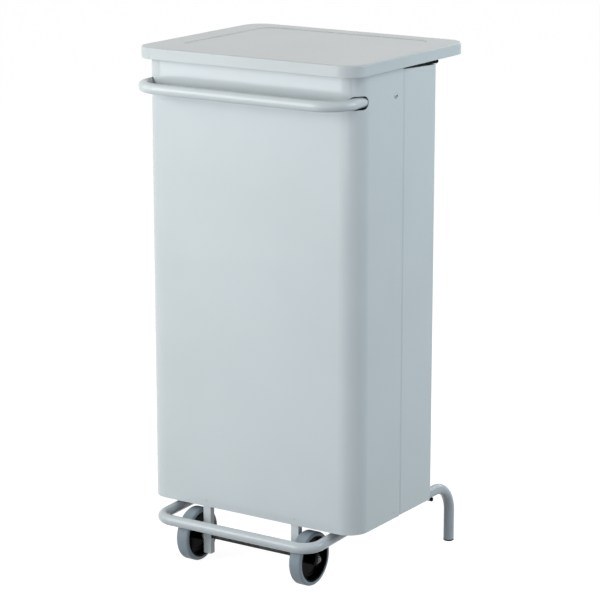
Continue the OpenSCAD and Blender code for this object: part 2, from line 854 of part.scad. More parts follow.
// Lid lever: a plate under the lid that reaches down to the upper clevis
module lid_lever() {
    half = 18;
    flange = 15;
    flange_t = 2.5;
    top = panel_under - weld_gap - upper_pin_z;
    color(paint) in_frame() translate([0, upper_pin_y, upper_pin_z]) difference() {
        union() {
            across(boss_r, lever_t);
            translate([lever_t / 2, 0, 0]) rotate([90, 0, -90]) linear_extrude(lever_t)
                polygon([[boss_r, 0], [half, top], [-half, top], [-boss_r, 0]]);
            translate([-flange, -half, top - flange_t]) cube([2 * flange, 2 * half, flange_t]);
        }
        across(pin_r + snug, 3 * lever_t);
    }
}

// Clevis pin along X with its middle on the origin
module clevis_pin() {
    across(pin_r, 2 * pin_half);
}

// Spring clips near both ends of a clevis pin
module pin_clips() {
    both_sides() translate([clevis_x + gap + clip_t / 2, 0, 0]) difference() {
        across(pin_r + 2.5, clip_t);
        across(pin_r + snug, 2 * clip_t);
    }
}

module lid_pin() {
    color(steel) in_frame() translate([0, upper_pin_y, upper_pin_z]) clevis_pin();
}

module lid_pin_clips() {
    color(steel) in_frame() translate([0, upper_pin_y, upper_pin_z]) pin_clips();
}

module lid_buffers() {
    color(black) in_frame() both_sides() translate([buffer_x, hoop_near_y, lid_under - buffer_t])
        cylinder(d = buffer_d, h = buffer_t);
}

// The pedal's own frame: its shaft on the X axis and its side tubes along Y
module at_pedal() {
    translate([0, pivot_y, pivot_z]) rotate([pedal_slope, 0, 0]) children();
}

module pedal_loop() {
    side = front_arm + pedal_tail - pedal_bend_r;
    bar = 2 * (pedal_x - pedal_bend_r);
    color(paint) in_frame() at_pedal() difference() {
        translate([pedal_x, pedal_tail, 0]) rotate([0, 0, 180])
            tube([[side, pedal_bend_r, 90], [bar, pedal_bend_r, 90], [side, 0, 0]]);
        across(shaft_d / 2 + snug, 3 * pedal_x);
    }
}

// Plugs in the rear ends of the pedal's side tubes
module pedal_plugs() {
    stem_r = tube_r - tube_wall - snug;
    stem = 7;
    head = 2;
    color(black) in_frame() at_pedal() both_sides() translate([pedal_x, pedal_tail + snug, 0])
        rotate([-90, 0, 0]) {
            cylinder(r = tube_r, h = head);
            translate([0, 0, -stem]) cylinder(r = stem_r, h = stem + head / 2);
        }
}

module pedal_shaft() {
    stub = 1.5;
    color(steel) in_frame() translate([0, pivot_y, pivot_z])
        across(shaft_d / 2, 2 * (pedal_x + tube_r + stub));
}

// Pedal lever: from the shaft back to the lower clevis
module pedal_lever() {
    hub_r = shaft_d / 2 + 6;
    color(paint) in_frame() translate([0, pivot_y, pivot_z]) difference() {
        union() {
            across(hub_r, lever_t + 6);
            translate([0, rear_arm, 0]) across(boss_r, lever_t);
            translate([lever_t / 2, 0, 0]) rotate([90, 0, -90]) linear_extrude(lever_t)
                polygon([[0, hub_r], [-rear_arm, boss_r], [-rear_arm, -boss_r], [0, -hub_r]]);
        }
        across(shaft_d / 2 + snug, 6 * lever_t);
        translate([0, rear_arm, 0]) across(pin_r + snug, 3 * lever_t);
    }
}

module pedal_pin() {
    color(steel) in_frame() translate([0, lower_pin_y, lower_pin_z]) clevis_pin();
}

module pedal_pin_clips() {
    color(steel) in_frame() translate([0, lower_pin_y, lower_pin_z]) pin_clips();
}

module push_rod() {
    color(steel) in_frame() translate([0, rod_y, rod_low]) cylinder(d = rod_d, h = rod_high - rod_low);
}

// Clevis round a pin at the origin, its fork up and its neck, on the rod, below
module clevis() {
    fork = clevis_root + clevis_tip;
    gap_half = clevis_x - ear_t;
    slot_h = 2 * (pin_r + pin_play);
    difference() {
        translate([-clevis_x, -clevis_half, -clevis_root - clevis_neck])
            cube([2 * clevis_x, 2 * clevis_half, fork + clevis_neck]);
        translate([-gap_half, -clevis_half - over, -clevis_root])
            cube([2 * gap_half, 2 * (clevis_half + over), fork + over]);
        // Sideways slot for the pin
        for (s = [-1, 1]) translate([0, s * slot_half, 0]) across(pin_r + pin_play, 3 * clevis_x);
        translate([-2 * clevis_x, -slot_half, -slot_h / 2]) cube([4 * clevis_x, 2 * slot_half, slot_h]);
        translate([0, 0, -clevis_root - clevis_neck - over])
            cylinder(r = rod_d / 2 + snug, h = clevis_neck + over + 1);
    }
}

module clevis_upper() {
    color(steel) in_frame() translate([0, rod_y, upper_pin_z]) clevis();
}

module clevis_lower() {
    color(steel) in_frame() translate([0, rod_y, lower_pin_z]) mirror([0, 0, 1]) clevis();
}

// Lock nuts on the rod beside both clevises
module rod_nuts() {
    corner = 9.8;
    reach = clevis_root + clevis_neck + snug;
    color(steel) in_frame() translate([0, rod_y, 0])
        for (z = [lower_pin_z + reach, upper_pin_z - reach - nut_h]) translate([0, 0, z]) difference() {
            cylinder(r = corner, h = nut_h, $fn = 6);
            translate([0, 0, -over]) cylinder(r = rod_d / 2 + snug, h = nut_h + 2 * over);
        }
}

front_shell();
rear_shell();
floor_pan();
rod_duct();
bag_hoop();
hinge_bracket_left();
hinge_bracket_right();
hinge_rivets();
push_handle();
handle_screws();
leg_left();
leg_right();
leg_plug_left();
leg_plug_right();
leg_tie_rod();
tie_rod_caps();
wheel_post_left();
wheel_post_right();
axle();
axle_washers();
axle_caps();
tyre_left();
tyre_right();
wheel_core_left();
wheel_core_right();
pivot_bracket_left();
pivot_bracket_right();
bracket_screws();
bracket_nuts();
pivot_bushes();
guide_plate();
guide_bushes();
lid();
lid_arm_left();
lid_arm_right();
lid_lever();
lid_pin();
lid_pin_clips();
lid_buffers();
pedal_loop();
pedal_plugs();
pedal_shaft();
pedal_lever();
pedal_pin();
pedal_pin_clips();
push_rod();
clevis_lower();
clevis_upper();
rod_nuts();
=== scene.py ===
import logging
import math
from dataclasses import dataclass
from enum import Enum
from functools import cache

import bmesh
import bpy
from bmesh.types import BMesh
from bpy.types import Material, Node, NodeSocket, NodeTree, Object
from mathutils import Matrix, Vector


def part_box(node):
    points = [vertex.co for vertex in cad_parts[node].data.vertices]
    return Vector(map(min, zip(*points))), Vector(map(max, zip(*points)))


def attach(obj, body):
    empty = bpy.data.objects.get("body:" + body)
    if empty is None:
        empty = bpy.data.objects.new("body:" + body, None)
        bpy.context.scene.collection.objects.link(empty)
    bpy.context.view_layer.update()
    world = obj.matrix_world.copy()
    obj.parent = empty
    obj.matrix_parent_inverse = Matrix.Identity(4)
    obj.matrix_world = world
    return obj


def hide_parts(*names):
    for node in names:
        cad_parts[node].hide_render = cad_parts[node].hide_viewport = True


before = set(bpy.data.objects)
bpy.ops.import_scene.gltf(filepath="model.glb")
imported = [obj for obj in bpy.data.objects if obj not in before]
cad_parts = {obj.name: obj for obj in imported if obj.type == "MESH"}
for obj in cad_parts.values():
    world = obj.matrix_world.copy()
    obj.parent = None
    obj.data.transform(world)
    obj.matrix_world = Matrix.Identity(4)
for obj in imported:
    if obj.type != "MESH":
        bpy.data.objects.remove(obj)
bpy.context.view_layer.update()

MM = 0.001
log = logging.getLogger("pedal_bin")

Colour = tuple[float, float, float, float]
Point = tuple[float, float, float]


def screen_colour(red: int, green: int, blue: int) -> Colour:
    """Turn a colour as a screen shows it into the linear values that shaders take.

    Args:
        red: Red from 0 to 255.
        green: Green from 0 to 255.
        blue: Blue from 0 to 255.

    Returns:
        Linear red, green and blue with an alpha of 1.
    """
    def linear(value: int) -> float:
        """One channel of the sRGB curve."""
        share = value / 255
        return share / 12.92 if share <= 0.04045 else ((share + 0.055) / 1.055) ** 2.4

    return linear(red), linear(green), linear(blue), 1.0


class Side(Enum):
    """The two sides of the bin, with their sign along X."""

    LEFT = -1
    RIGHT = 1


# Shader graphs

class Graph:
    """Adds and wires the nodes of one material or node group."""

    def __init__(self, tree: NodeTree) -> None:
        """Start with an empty tree.

        Args:
            tree: Node tree of a material, a world or a group.
        """
        self.tree = tree
        self.tree.nodes.clear()

    def add(self, kind: str, **settings: object) -> Node:
        """Add a node and set its properties.

        Args:
            kind: Blender's name of the node type.
            **settings: Properties of the node.

        Returns:
            The new node.
        """
        node = self.tree.nodes.new(kind)
        for name, value in settings.items():
            setattr(node, name, value)
        return node

    def feed(self, source: object, target: NodeSocket) -> None:
        """Link a socket to the target, or set a plain value on it."""
        if isinstance(source, NodeSocket):
            self.tree.links.new(source, target)
        else:
            target.default_value = source

    def maths(self, operation: str, first: object, second: object = 0.0, clamp: bool = False) -> NodeSocket:
        """Combine two numbers.

        Args:
            operation: Blender's name of the operation.
            first: Socket or number.
            second: Socket or number.
            clamp: Whether the result is kept between 0 and 1.

        Returns:
            The socket with the result.
        """
        node = self.add("ShaderNodeMath", operation=operation, use_clamp=clamp)
        self.feed(first, node.inputs[0])
        self.feed(second, node.inputs[1])
        return node.outputs[0]

    def spread(self, value: object, low: float, high: float, to_low: float = 0.0,
               to_high: float = 1.0) -> NodeSocket:
        """Map a range of a value smoothly onto another range.

        Args:
            value: Socket or number.
            low: Value that gives to_low.
            high: Value that gives to_high.
            to_low: Lowest result.
            to_high: Highest result.

        Returns:
            The socket with the result.
        """
        node = self.add("ShaderNodeMapRange", interpolation_type="SMOOTHSTEP")
        for index, item in enumerate((value, low, high, to_low, to_high)):
            self.feed(item, node.inputs[index])
        return node.outputs[0]

    def noise(self, place: object, scale: object, detail: float = 3.0) -> NodeSocket:
        """Fractal noise between 0 and 1.

        Args:
            place: Socket with the coordinates.
            scale: Socket or number, in cells per metre.
            detail: Number of finer layers.

        Returns:
            The socket with the noise.
        """
        node = self.add("ShaderNodeTexNoise")
        self.feed(place, node.inputs["Vector"])
        self.feed(scale, node.inputs["Scale"])
        self.feed(detail, node.inputs["Detail"])
        return node.outputs["Fac"]

    def blend(self, share: object, first: object, second: object) -> NodeSocket:
        """Mix two colours.

        Args:
            share: Socket or number, 0 for the first colour.
            first: Socket or colour.
            second: Socket or colour.

        Returns:
            The socket with the mixed colour.
        """
        node = self.add("ShaderNodeMix", data_type="RGBA")
        self.feed(share, node.inputs[0])
        self.feed(first, node.inputs[6])
        self.feed(second, node.inputs[7])
        return node.outputs[2]

    def place(self) -> NodeSocket:
        """Coordinates fixed to the piece, in metres."""
        return self.add("ShaderNodeTexCoord").outputs["Object"]

    def part(self, vector: object, letter: str) -> NodeSocket:
        """The X, Y or Z of a vector."""
        split = self.add("ShaderNodeSeparateXYZ")
        self.feed(vector, split.inputs[0])
        return split.outputs[letter]

    def from_axis(self, place: object, axis: object) -> NodeSocket:
        """Distance of a place from an axis along X.

        Args:
            place: Socket with the coordinates.
            axis: Socket or point on the axis, whose X is 0.

        Returns:
            The socket with the distance in metres.
        """
        flat = self.add("ShaderNodeVectorMath", operation="MULTIPLY")
        self.feed(place, flat.inputs[0])
        self.feed((0.0, 1.0, 1.0), flat.inputs[1])
        apart = self.add("ShaderNodeVectorMath", operation="DISTANCE")
        self.feed(flat.outputs[0], apart.inputs[0])
        self.feed(axis, apart.inputs[1])
        return apart.outputs["Value"]

    def effect(self, group: NodeTree, **values: object) -> Node:
        """Place a shared effect with values of its own.

        Args:
            group: The effect's node group.
            **values: Input values, with underscores for the blanks in their names.

        Returns:
            The group node.
        """
        node = self.add("ShaderNodeGroup", node_tree=group)
        for name, value in values.items():
            self.feed(value, node.inputs[name.replace("_", " ").capitalize()])
        return node


@dataclass(frozen=True)
class Socket:
    """An input or output of a shared effect."""

    name: str
    kind: str = "NodeSocketFloat"
    value: object = 0.0


class Effect:
    """Node groups that more than one finish uses, each built once."""

    @staticmethod
    def _start(name: str, inputs: tuple[Socket, ...],
               outputs: tuple[Socket, ...]) -> tuple[Graph, Node, Node]:
        """Make a group with its sockets and its two end nodes.

        Args:
            name: The group's name.
            inputs: What the group takes.
            outputs: What the group gives.

        Returns:
            The graph, the input node and the output node.
        """
        tree = bpy.data.node_groups.new(name, "ShaderNodeTree")
        for item in inputs:
            made = tree.interface.new_socket(item.name, in_out="INPUT", socket_type=item.kind)
            made.default_value = item.value
        for item in outputs:
            tree.interface.new_socket(item.name, in_out="OUTPUT", socket_type=item.kind)
        graph = Graph(tree)
        return graph, graph.add("NodeGroupInput"), graph.add("NodeGroupOutput")

    @classmethod
    @cache
    def grain(cls) -> NodeTree:
        """Fine texture of a surface, with a slow change of shade over it."""
        graph, given, result = cls._start("grain", (Socket("Scale"), Socket("Wave scale")),
                                          (Socket("Height"), Socket("Shade"), Socket("Wave")))
        place = graph.place()
        fine = graph.noise(place, given.outputs["Scale"], 4.0)
        slow = graph.noise(place, given.outputs["Wave scale"], 2.0)
        graph.feed(fine, result.inputs["Height"])
        graph.feed(graph.spread(fine, 0.3, 0.7), result.inputs["Shade"])
        graph.feed(slow, result.inputs["Wave"])
        return graph.tree

    @classmethod
    @cache
    def dust(cls) -> NodeTree:
        """Mask of the fine dust that settles on faces that look up."""
        graph, given, result = cls._start("dust", (Socket("Amount"), Socket("Patch scale", value=9.0)),
                                          (Socket("Mask"),))
        normal = graph.add("ShaderNodeNewGeometry").outputs["Normal"]
        upward = graph.spread(graph.part(normal, "Z"), 0.55, 1.0)
        patches = graph.noise(graph.place(), given.outputs["Patch scale"], 5.0)
        cover = graph.spread(patches, 0.3, 0.75)
        amount = graph.maths("MULTIPLY", upward, given.outputs["Amount"])
        graph.feed(graph.maths("MULTIPLY", cover, amount, clamp=True), result.inputs["Mask"])
        return graph.tree

    @classmethod
    @cache
    def scuff(cls) -> NodeTree:
        """Mask of the rubbed and dirty band near the floor."""
        graph, given, result = cls._start(
            "scuff", (Socket("Height"), Socket("Amount"), Socket("Patch scale", value=60.0)),
            (Socket("Mask"),))
        place = graph.place()
        share = graph.maths("DIVIDE", graph.part(place, "Z"), given.outputs["Height"])
        low = graph.maths("SUBTRACT", 1.0, share, clamp=True)
        patches = graph.spread(graph.noise(place, given.outputs["Patch scale"], 6.0), 0.4, 0.7)
        dirty = graph.maths("MULTIPLY", low, patches)
        graph.feed(graph.maths("MULTIPLY", dirty, given.outputs["Amount"], clamp=True),
                   result.inputs["Mask"])
        return graph.tree

    @classmethod
    @cache
    def spot(cls) -> NodeTree:
        """Mask of one small round mark, such as the dimple that a spot weld leaves."""
        centre = Socket("Centre", "NodeSocketVector", (0.0, 0.0, 0.0))
        graph, given, result = cls._start("spot", (centre, Socket("Radius")), (Socket("Mask"),))
        apart = graph.add("ShaderNodeVectorMath", operation="DISTANCE")
        graph.feed(graph.place(), apart.inputs[0])
        graph.feed(given.outputs["Centre"], apart.inputs[1])
        share = graph.maths("DIVIDE", apart.outputs["Value"], given.outputs["Radius"])
        graph.feed(graph.spread(share, 0.35, 1.0, 1.0, 0.0), result.inputs["Mask"])
        return graph.tree

    @classmethod
    @cache
    def rings(cls) -> NodeTree:
        """Fine turned rings about an axis along X."""
        centre = Socket("Centre", "NodeSocketVector", (0.0, 0.0, 0.0))
        graph, given, result = cls._start("rings", (centre, Socket("Pitch")), (Socket("Height"),))
        apart = graph.from_axis(graph.place(), given.outputs["Centre"])
        turns = graph.maths("DIVIDE", apart, given.outputs["Pitch"])
        wave = graph.maths("SINE", graph.maths("MULTIPLY", turns, math.tau))
        graph.feed(graph.maths("MULTIPLY_ADD", wave, 0.5), result.inputs["Height"])
        return graph.tree


# Finishes

@dataclass(frozen=True)
class Finish:
    """What every finish shares: a name, a colour, and a roughness with its spread."""

    name: str
    colour: Colour
    roughness: float
    smoother: float = 0.05
    rougher: float = 0.06
    grain_strength: float = 0.15

    def _vary(self, graph: Graph, shade: object, low: float = 0.0, high: float = 1.0) -> NodeSocket:
        """Roughness that follows a shade between its low and its high value."""
        return graph.spread(shade, low, high, self.roughness - self.smoother, self.roughness + self.rougher)

    def _start(self) -> tuple[Material, Graph, Node]:
        """Make the material with its shader.

        Returns:
            The material, its graph and the Principled shader.
        """
        material = bpy.data.materials.new(self.name)
        material.use_nodes = True
        graph = Graph(material.node_tree)
        shader = graph.add("ShaderNodeBsdfPrincipled")
        output = graph.add("ShaderNodeOutputMaterial")
        graph.feed(shader.outputs["BSDF"], output.inputs["Surface"])
        return material, graph, shader

    @staticmethod
    def _relief(graph: Graph, shader: Node, height: object, strength: float,
                depth: float, below: object = None) -> NodeSocket:
        """Add a bump and lead it to the shader.

        Args:
            graph: The material's graph.
            shader: The Principled shader.
            height: Socket with the height, from 0 to 1.
            strength: Strength of the bump.
            depth: Depth of the bump in metres.
            below: Normal of a bump that this one lies on.

        Returns:
            The socket with the new normal.
        """
        bump = graph.add("ShaderNodeBump")
        graph.feed(height, bump.inputs["Height"])
        graph.feed(strength, bump.inputs["Strength"])
        graph.feed(depth, bump.inputs["Distance"])
        if below is not None:
            graph.feed(below, bump.inputs["Normal"])
        graph.feed(bump.outputs["Normal"], shader.inputs["Normal"])
        return bump.outputs["Normal"]


@dataclass(frozen=True)
class PowderCoat(Finish):
    """Satin powder coat on sheet or tube, with orange peel, dust and weld dimples, the dimples darkened
    with painted shade.
    """

    smoother: float = 0.02
    rougher: float = 0.03
    grain_strength: float = 0.12
    peel_scale: float = 650.0
    wave_scale: float = 5.0
    wave_strength: float = 0.5
    wave_depth: float = 0.0004
    dust: float = 0.07
    shine: float = 0.25
    coat: float = 0.3
    coat_roughness: float = 0.03
    scuff_height: float = 0.12
    scuff: float = 0.0
    spots: tuple[Point, ...] = ()
    spot_radius: float = 0.0022
    spot_depth: float = 0.0004
    spot_strength: float = 0.8
    spot_shade_share: float = 0.35
    dust_roughness: float = 0.3
    shade: float = 0.965
    peel_depth: float = 0.00008
    dust_colour: Colour = screen_colour(196, 192, 180)
    scuff_colour: Colour = screen_colour(120, 120, 118)
    spot_shade_colour: Colour = screen_colour(120, 124, 126)

    def material(self) -> Material:
        """Build the material.

        Returns:
            The finished material.
        """
        material, graph, shader = self._start()
        grain = graph.effect(Effect.grain(), scale=self.peel_scale, wave_scale=self.wave_scale)
        slow = graph.spread(grain.outputs["Wave"], 0.3, 0.7)
        darker = tuple(self.shade * c for c in self.colour[:3]) + (1.0,)
        paint = graph.blend(slow, self.colour, darker)
        settled = graph.effect(Effect.dust(), amount=self.dust).outputs["Mask"]
        paint = graph.blend(settled, paint, self.dust_colour)
        rubbed = graph.effect(Effect.scuff(), height=self.scuff_height, amount=self.scuff)
        paint = graph.blend(rubbed.outputs["Mask"], paint, self.scuff_colour)
        normal = self._relief(graph, shader, grain.outputs["Wave"], self.wave_strength, self.wave_depth)
        normal = self._relief(graph, shader, grain.outputs["Height"], self.grain_strength,
                              self.peel_depth, normal)
        for centre in self.spots:
            spot = graph.effect(Effect.spot(), centre=centre, radius=self.spot_radius).outputs["Mask"]
            # Painted shade: the colour darkens inside each weld dimple. The dent made below is the real
            # shape.
            paint = graph.blend(graph.maths("MULTIPLY", spot, self.spot_shade_share), paint, self.spot_shade_colour)
            dent = graph.maths("SUBTRACT", 1.0, spot)
            normal = self._relief(graph, shader, dent, self.spot_strength, self.spot_depth, normal)
        graph.feed(paint, shader.inputs["Base Color"])
        rough = graph.maths("ADD", self._vary(graph, grain.outputs["Shade"]),
                            graph.maths("MULTIPLY", settled, self.dust_roughness))
        graph.feed(rough, shader.inputs["Roughness"])
        shader.inputs["Specular IOR Level"].default_value = self.shine
        shader.inputs["Coat Weight"].default_value = self.coat
        shader.inputs["Coat Roughness"].default_value = self.coat_roughness
        return material


@dataclass(frozen=True)
class Plastic(Finish):
    """Moulded or dipped plastic with a fine spark-eroded grain."""

    grain_scale: float = 1400.0
    wave_scale: float = 40.0
    shine: float = 0.35
    worn: Colour = screen_colour(70, 70, 72)
    dust: float = 0.12
    dust_scale: float = 30.0
    grain_depth: float = 0.00006
    scuff_height: float = 0.08
    scuff: float = 0.0

    def material(self) -> Material:
        """Build the material.

        Returns:
            The finished material.
        """
        material, graph, shader = self._start()
        grain = graph.effect(Effect.grain(), scale=self.grain_scale, wave_scale=self.wave_scale)
        dull = graph.effect(Effect.scuff(), height=self.scuff_height, amount=self.scuff)
        settled = graph.effect(Effect.dust(), amount=self.dust,
                               patch_scale=self.dust_scale).outputs["Mask"]
        marks = graph.maths("ADD", dull.outputs["Mask"], settled, clamp=True)
        graph.feed(graph.blend(marks, self.colour, self.worn), shader.inputs["Base Color"])
        graph.feed(self._vary(graph, grain.outputs["Wave"], 0.3, 0.7), shader.inputs["Roughness"])
        shader.inputs["Specular IOR Level"].default_value = self.shine
        self._relief(graph, shader, grain.outputs["Height"], self.grain_strength, self.grain_depth)
        return material


@dataclass(frozen=True)
class TyreRubber(Finish):
    """Smooth grey tyre rubber with fine rings, a mould line and a dirty tread."""

    smoother: float = 0.06
    rougher: float = 0.08
    grain_strength: float = 0.25
    grain_scale: float = 900.0
    wave_scale: float = 35.0
    centre: Point = (0.0, 0.0, 0.0)
    tread_radius: float = 0.05
    mould_line: float = 0.0005
    tread_edge: float = 0.002
    ring_pitch: float = 0.0024
    ring_strength: float = 0.18
    ring_depth: float = 0.0001
    line_strength: float = 0.6
    line_depth: float = 0.0003
    soil: Colour = screen_colour(84, 86, 86)
    soil_share: float = 0.35
    paler: float = 1.25
    pale_share: float = 0.25

    def material(self) -> Material:
        """Build the material.

        Returns:
            The finished material.
        """
        material, graph, shader = self._start()
        axis = (0.0, self.centre[1], self.centre[2])
        grain = graph.effect(Effect.grain(), scale=self.grain_scale, wave_scale=self.wave_scale)
        rings = graph.effect(Effect.rings(), centre=axis, pitch=self.ring_pitch)
        place = graph.place()
        aside = graph.maths("ABSOLUTE", graph.maths("SUBTRACT", graph.part(place, "X"), self.centre[0]))
        line = graph.spread(aside, 0.0, self.mould_line, 1.0, 0.0)
        tread = graph.spread(graph.from_axis(place, axis), self.tread_radius - self.tread_edge,
                             self.tread_radius)
        patches = graph.spread(grain.outputs["Wave"], 0.35, 0.75)
        soiled = graph.maths("MULTIPLY", tread, graph.maths("MULTIPLY", patches, self.soil_share))
        colour = graph.blend(soiled, self.colour, self.soil)
        pale = tuple(min(1.0, self.paler * c) for c in self.colour[:3]) + (1.0,)
        colour = graph.blend(graph.maths("MULTIPLY", patches, self.pale_share), colour, pale)
        graph.feed(colour, shader.inputs["Base Color"])
        graph.feed(self._vary(graph, grain.outputs["Shade"]), shader.inputs["Roughness"])
        normal = self._relief(graph, shader, rings.outputs["Height"], self.ring_strength, self.ring_depth)
        normal = self._relief(graph, shader, line, self.line_strength, self.line_depth, normal)
        self._relief(graph, shader, grain.outputs["Height"], self.grain_strength, self.ring_depth, normal)
        return material


@dataclass(frozen=True)
class PlatedSteel(Finish):
    """Zinc-plated or blackened steel with a crystalline cloud and light tool marks."""

    smoother: float = 0.0
    rougher: float = 0.18
    cloud_scale: float = 90.0
    grain_scale: float = 2200.0
    grain_depth: float = 0.00005
    patch: Colour = screen_colour(150, 152, 150)

    def material(self) -> Material:
        """Build the material.

        Returns:
            The finished material.
        """
        material, graph, shader = self._start()
        grain = graph.effect(Effect.grain(), scale=self.grain_scale, wave_scale=self.cloud_scale)
        cloud = graph.spread(grain.outputs["Wave"], 0.35, 0.7)
        graph.feed(graph.blend(cloud, self.colour, self.patch), shader.inputs["Base Color"])
        shader.inputs["Metallic"].default_value = 1.0
        graph.feed(self._vary(graph, grain.outputs["Wave"], 0.3, 0.75), shader.inputs["Roughness"])
        self._relief(graph, shader, grain.outputs["Height"], self.grain_strength, self.grain_depth)
        return material


@dataclass
class Finishes:
    """The materials of the bin, each made once from its finish."""

    paint: PowderCoat
    body_paint: PowderCoat
    lid_shaded_paint: PowderCoat
    foot_shaded_paint: PowderCoat
    leg_paint: PowderCoat
    coating: Plastic
    plastic: Plastic
    core: Plastic
    rubber: Plastic
    zinc: PlatedSteel
    dull_zinc: PlatedSteel
    cap_zinc: PlatedSteel
    blackened: PlatedSteel

    def __post_init__(self) -> None:
        """Prepare the store of built materials."""
        self._made: dict[str, Material] = {}

    def get(self, finish: Finish) -> Material:
        """The material of a finish, built when it is first asked for."""
        if finish.name not in self._made:
            self._made[finish.name] = finish.material()
        return self._made[finish.name]

    def dress(self, finish: Finish, *nodes: str) -> None:
        """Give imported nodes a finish.

        Args:
            finish: The finish they take.
            *nodes: Names of the nodes.
        """
        material = self.get(finish)
        for name in nodes:
            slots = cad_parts[name].data.materials
            for index in range(len(slots)):
                slots[index] = material
            log.info("dressed %s in %s", name, finish.name)


# Meshes

class MeshMaker:
    """Turns profiles and paths into pieces that ride on a body."""

    @staticmethod
    def piece(name: str, shape: BMesh, material: Material, body: str,
              slot: str, crease_deg: float = 35.0) -> Object:
        """Store a shape as a piece of the model.

        Args:
            name: Name of the piece.
            shape: The shape, which is used up.
            material: Its material.
            body: Body that it rides on.
            slot: Slot of the record that its finish belongs to; not used.
            crease_deg: Edges sharper than this stay sharp.

        Returns:
            The new object.
        """
        mesh = bpy.data.meshes.new(name)
        bmesh.ops.recalc_face_normals(shape, faces=shape.faces)
        shape.to_mesh(mesh)
        shape.free()
        for polygon in mesh.polygons:
            polygon.use_smooth = True
        mesh.set_sharp_from_angle(angle=math.radians(crease_deg))
        mesh.materials.append(material)
        made = bpy.data.objects.new(name, mesh)
        bpy.context.scene.collection.objects.link(made)
        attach(made, body)
        log.info("made %s on %s with %d faces", name, body, len(mesh.polygons))
        return made

    @staticmethod
    def axes(direction: Vector) -> Matrix:
        """Matrix whose Z axis lies along a direction."""
        return direction.normalized().to_track_quat("Z", "Y").to_matrix().to_4x4()

    @classmethod
    def lathe(cls, profile: list[tuple[float, float]], base: Vector, direction: Vector,
              sides: int = 48) -> BMesh:
        """Revolve a profile about an axis.

        Args:
            profile: Points of radius and height. A radius of 0 closes an end.
            base: Point where the height is 0.
            direction: Direction of the axis.
            sides: Number of sides round the axis.

        Returns:
            The revolved shape.
        """
        shape = bmesh.new()
        rings = []
        for radius, height in profile:
            if radius <= 0:
                rings.append([shape.verts.new((0.0, 0.0, height))])
                continue
            turns = [math.tau * step / sides for step in range(sides)]
            rings.append([shape.verts.new((radius * math.cos(a), radius * math.sin(a), height))
                          for a in turns])
        for low, high in zip(rings, rings[1:]):
            for step in range(sides):
                after = (step + 1) % sides
                ends = [low[step % len(low)], low[after % len(low)],
                        high[after % len(high)], high[step % len(high)]]
                corners = list(dict.fromkeys(ends))
                if len(corners) > 2:
                    shape.faces.new(corners)
        shape.transform(Matrix.Translation(base) @ cls.axes(direction))
        return shape

    @staticmethod
    def bead(path: list[Vector], radius: float, closed: bool = False, ripple: float = 0.14,
             pitch: float = 0.0022, tip: float = 0.45, sides: int = 10) -> BMesh:
        """Weld bead along a path, with the ripples that the welder leaves.

        Args:
            path: Points of the bead's middle line.
            radius: Radius of the bead.
            closed: Whether the bead runs round into itself.
            ripple: Height of the ripples as a share of the radius.
            pitch: Length of one ripple in metres.
            tip: Share of the radius at the two ends.
            sides: Number of sides round the bead.

        Returns:
            The bead.
        """
        shape = bmesh.new()
        count = len(path)
        rings = []
        run = 0.0
        for index, point in enumerate(path):
            before = path[index - 1] if closed or index else path[0]
            after = path[(index + 1) % count] if closed or index < count - 1 else path[-1]
            if index:
                run += (point - path[index - 1]).length
            along = (after - before).normalized()
            across = along.orthogonal().normalized()
            up = along.cross(across)
            swell = radius * (1 + ripple * math.sin(math.tau * run / pitch))
            if not closed and index in (0, count - 1):
                swell = radius * tip
            turns = [math.tau * step / sides for step in range(sides)]
            rings.append([shape.verts.new(point + swell * (math.cos(a) * across + math.sin(a) * up))
                          for a in turns])
        pairs = list(zip(rings, rings[1:])) + ([(rings[-1], rings[0])] if closed else [])
        for low, high in pairs:
            for step in range(sides):
                after = (step + 1) % sides
                shape.faces.new((low[step], low[after], high[after], high[step]))
        if not closed:
            shape.faces.new(rings[0])
            shape.faces.new(rings[-1])
        return shape


def straight(start: Vector, end: Vector, pitch: float = 0.0006) -> list[Vector]:
    """Points on a line, close enough to carry weld ripples."""
    count = max(2, round((end - start).length / pitch))
    return [start.lerp(end, step / count) for step in range(count + 1)]


def circle(middle: Vector, radius: float, pitch: float = 0.0006) -> list[Vector]:
    """Points on a circle about an axis along X."""
    count = max(8, round(math.tau * radius / pitch))
    angles = [math.tau * step / count for step in range(count)]
    return [middle + radius * Vector((0.0, math.cos(a), math.sin(a))) for a in angles]


# Sub-assemblies

@dataclass
class Assembly:
    """Pieces of the bin that belong together, with the finishes they share."""

    finishes: Finishes

    def weld(self, name: str, path: list[Vector], radius: float, body: str = "body",
             closed: bool = False) -> None:
        """Lay a painted weld bead.

        Args:
            name: Name of the bead's piece.
            path: Points of the bead's middle line.
            radius: Radius of the bead.
            body: Body that the bead rides on.
            closed: Whether the bead runs round into itself.
        """
        paint = self.finishes.get(self.finishes.paint)
        MeshMaker.piece(name, MeshMaker.bead(path, radius, closed), paint, body, "grey_white_paint")


@dataclass
class Body(Assembly):
    """Both shells, the floor pan, the rod's cover and the hinge brackets."""

    def build(self) -> None:
        """Dress the folded body and what is fixed to it."""
        self.finishes.dress(self.finishes.body_paint, "front_shell", "rear_shell")
        self.finishes.dress(self.finishes.paint, "floor_pan", "rod_duct", "guide_plate",
                            "hinge_bracket_left", "hinge_bracket_right")
        self.finishes.dress(self.finishes.zinc, "hinge_rivets")
        self.finishes.dress(self.finishes.plastic, "guide_bushes")
        self.finishes.dress(self.finishes.coating, "bag_hoop")


